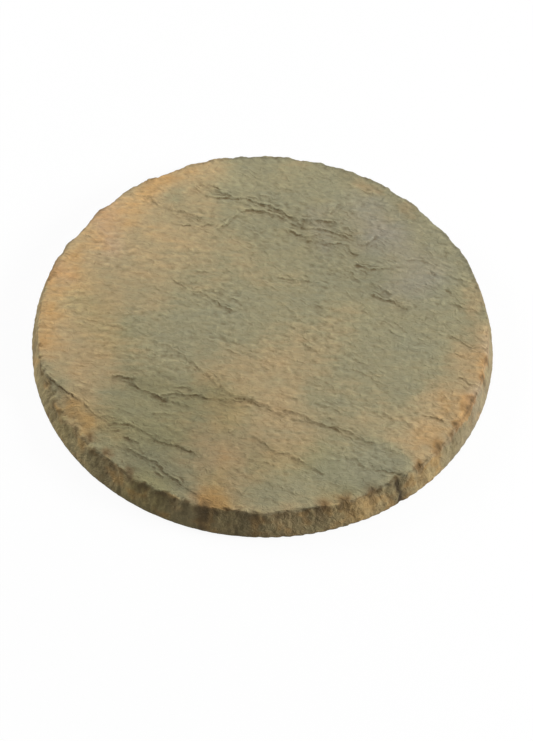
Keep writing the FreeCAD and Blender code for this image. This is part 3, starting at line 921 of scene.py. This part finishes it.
def white_paper():
    """Matte white background paper: white to the eye, with a faint shadow and a dim bounce by the stone."""
    material = bpy.data.materials.new("matte_white_paper")
    material.use_nodes = True
    tree = material.node_tree
    tree.nodes.clear()
    dim = add_node(tree, "ShaderNodeBsdfDiffuse", {"Color": (*linear("#A8A8A8"), 1)})
    white = add_node(tree, "ShaderNodeBsdfDiffuse", {"Color": (1, 1, 1, 1)})
    glow = add_node(tree, "ShaderNodeEmission", {"Color": (1, 1, 1, 1), "Strength": 1.0})
    # Round the stone the paper takes some light and shadow, and further out it is an even white
    place = add_node(tree, "ShaderNodeTexCoord").outputs["Object"]
    away = add_node(tree, "ShaderNodeVectorMath", {0: place}, operation="LENGTH").outputs["Value"]
    faded = add_node(tree, "ShaderNodeMapRange", {0: away, 1: 0.35, 2: 0.9, 3: 0.93, 4: 1.0}).outputs[0]
    sheet = add_node(tree, "ShaderNodeMixShader", {0: faded, 1: white.outputs[0], 2: glow.outputs[0]})
    shown = add_node(tree, "ShaderNodeMixShader", {
        0: seen_share(tree), 1: dim.outputs[0], 2: sheet.outputs[0]})
    add_node(tree, "ShaderNodeOutputMaterial", {"Surface": shown.outputs[0]})
    return material


def studio_world():
    """Even pale light from all round, with a white backdrop."""
    world = bpy.data.worlds.new("studio")
    world.use_nodes = True
    tree = world.node_tree
    tree.nodes.clear()
    light = add_node(tree, "ShaderNodeBackground", {"Color": (1, 1, 1, 1), "Strength": 0.2})
    white = add_node(tree, "ShaderNodeBackground", {"Color": (1, 1, 1, 1), "Strength": 1.0})
    shown = add_node(tree, "ShaderNodeMixShader", {
        0: seen_share(tree), 1: light.outputs[0], 2: white.outputs[0]})
    add_node(tree, "ShaderNodeOutputWorld", {"Surface": shown.outputs[0]})
    return world


def hang_softbox(name, turn, rise, distance, size, power):
    """A square studio softbox aimed at the stone, turned from +X and raised by angles in degrees."""
    turn, rise = math.radians(turn), math.radians(rise)
    away = Vector((math.cos(turn) * math.cos(rise), math.sin(turn) * math.cos(rise), math.sin(rise)))
    lamp = bpy.data.lights.new(name, "AREA")
    lamp.size = size
    lamp.energy = power
    softbox = bpy.data.objects.new(name, lamp)
    softbox.location = away * distance
    softbox.rotation_euler = (-away).to_track_quat("-Z", "Y").to_euler()
    softbox.visible_camera = False
    bpy.context.collection.objects.link(softbox)


def place_camera(settings):
    """The camera at the photograph's angle."""
    data = bpy.data.cameras.new("camera")
    data.sensor_fit = "VERTICAL"
    data.sensor_height = 36.0
    data.lens = settings.focal_pixels * data.sensor_height / IMAGE_HEIGHT
    camera = bpy.data.objects.new("camera", data)
    back = Vector((0.0, -math.cos(settings.elevation), math.sin(settings.elevation)))
    camera.location = Vector((0.0, 0.0, THICKNESS / 2 * MM)) + back * settings.distance
    aim = (Matrix.Rotation(settings.roll, 3, "Z") @ Matrix.Rotation(-settings.pitch, 3, "X")
           @ Matrix.Rotation(-settings.yaw, 3, "Y"))
    camera.rotation_euler = ((-back).to_track_quat("-Z", "Y").to_matrix() @ aim).to_euler()
    bpy.context.collection.objects.link(camera)
    bpy.context.scene.camera = camera


class STONE_OT_cast(bpy.types.Operator):
    """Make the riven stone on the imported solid"""

    bl_idname = "stepping_stone.cast"
    bl_label = "Cast the stone"

    def execute(self, context):
        settings = context.scene.riven_stone
        stone = cast_stone(settings)
        # Each sheet of ledges has two attributes, distance and strength
        sheets = sum(name.startswith("ledge_") for name in stone.data.attributes.keys()) // 2
        stone.data.materials.append(reconstituted_stone(settings, sheets))
        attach(stone, "root")
        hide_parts(NODE)
        return {"FINISHED"}


class STONE_OT_stage(bpy.types.Operator):
    """Set the floor, the light and the camera"""

    bl_idname = "stepping_stone.stage"
    bl_label = "Set the stage"

    def execute(self, context):
        bm = bmesh.new()
        bmesh.ops.create_grid(bm, x_segments=1, y_segments=1, size=FLOOR_REACH)
        mesh = bpy.data.meshes.new("floor")
        bm.to_mesh(mesh)
        bm.free()
        mesh.materials.append(white_paper())
        floor = bpy.data.objects.new("floor", mesh)
        context.collection.objects.link(floor)
        context.scene.world = studio_world()
        for name, hung in SOFTBOXES.items():
            hang_softbox(name, *hung)
        place_camera(context.scene.stone_stage)
        context.scene.view_settings.view_transform = "Standard"
        return {"FINISHED"}


class STONE_PT_panel(bpy.types.Panel):
    """Sizes, colours and steps of the stepping stone"""

    bl_idname = "STONE_PT_panel"
    bl_label = "Stepping Stone"
    bl_space_type = "VIEW_3D"
    bl_region_type = "UI"
    bl_category = "Stepping Stone"

    def draw(self, context):
        for settings in (context.scene.riven_stone, context.scene.stone_stage):
            for name in settings.__annotations__:
                self.layout.prop(settings, name)
        self.layout.operator(STONE_OT_cast.bl_idname)
        self.layout.operator(STONE_OT_stage.bl_idname)


CLASSES = (RivenStoneSettings, StageSettings, STONE_OT_cast, STONE_OT_stage, STONE_PT_panel)


def register():
    for cls in CLASSES:
        bpy.utils.register_class(cls)
    bpy.types.Scene.riven_stone = PointerProperty(type=RivenStoneSettings)
    bpy.types.Scene.stone_stage = PointerProperty(type=StageSettings)


def unregister():
    del bpy.types.Scene.stone_stage
    del bpy.types.Scene.riven_stone
    for cls in reversed(CLASSES):
        bpy.utils.unregister_class(cls)


def main():
    """Makes the stone and its stage."""
    register()
    bpy.ops.stepping_stone.cast()
    bpy.ops.stepping_stone.stage()


if __name__ == "__main__":
    main()
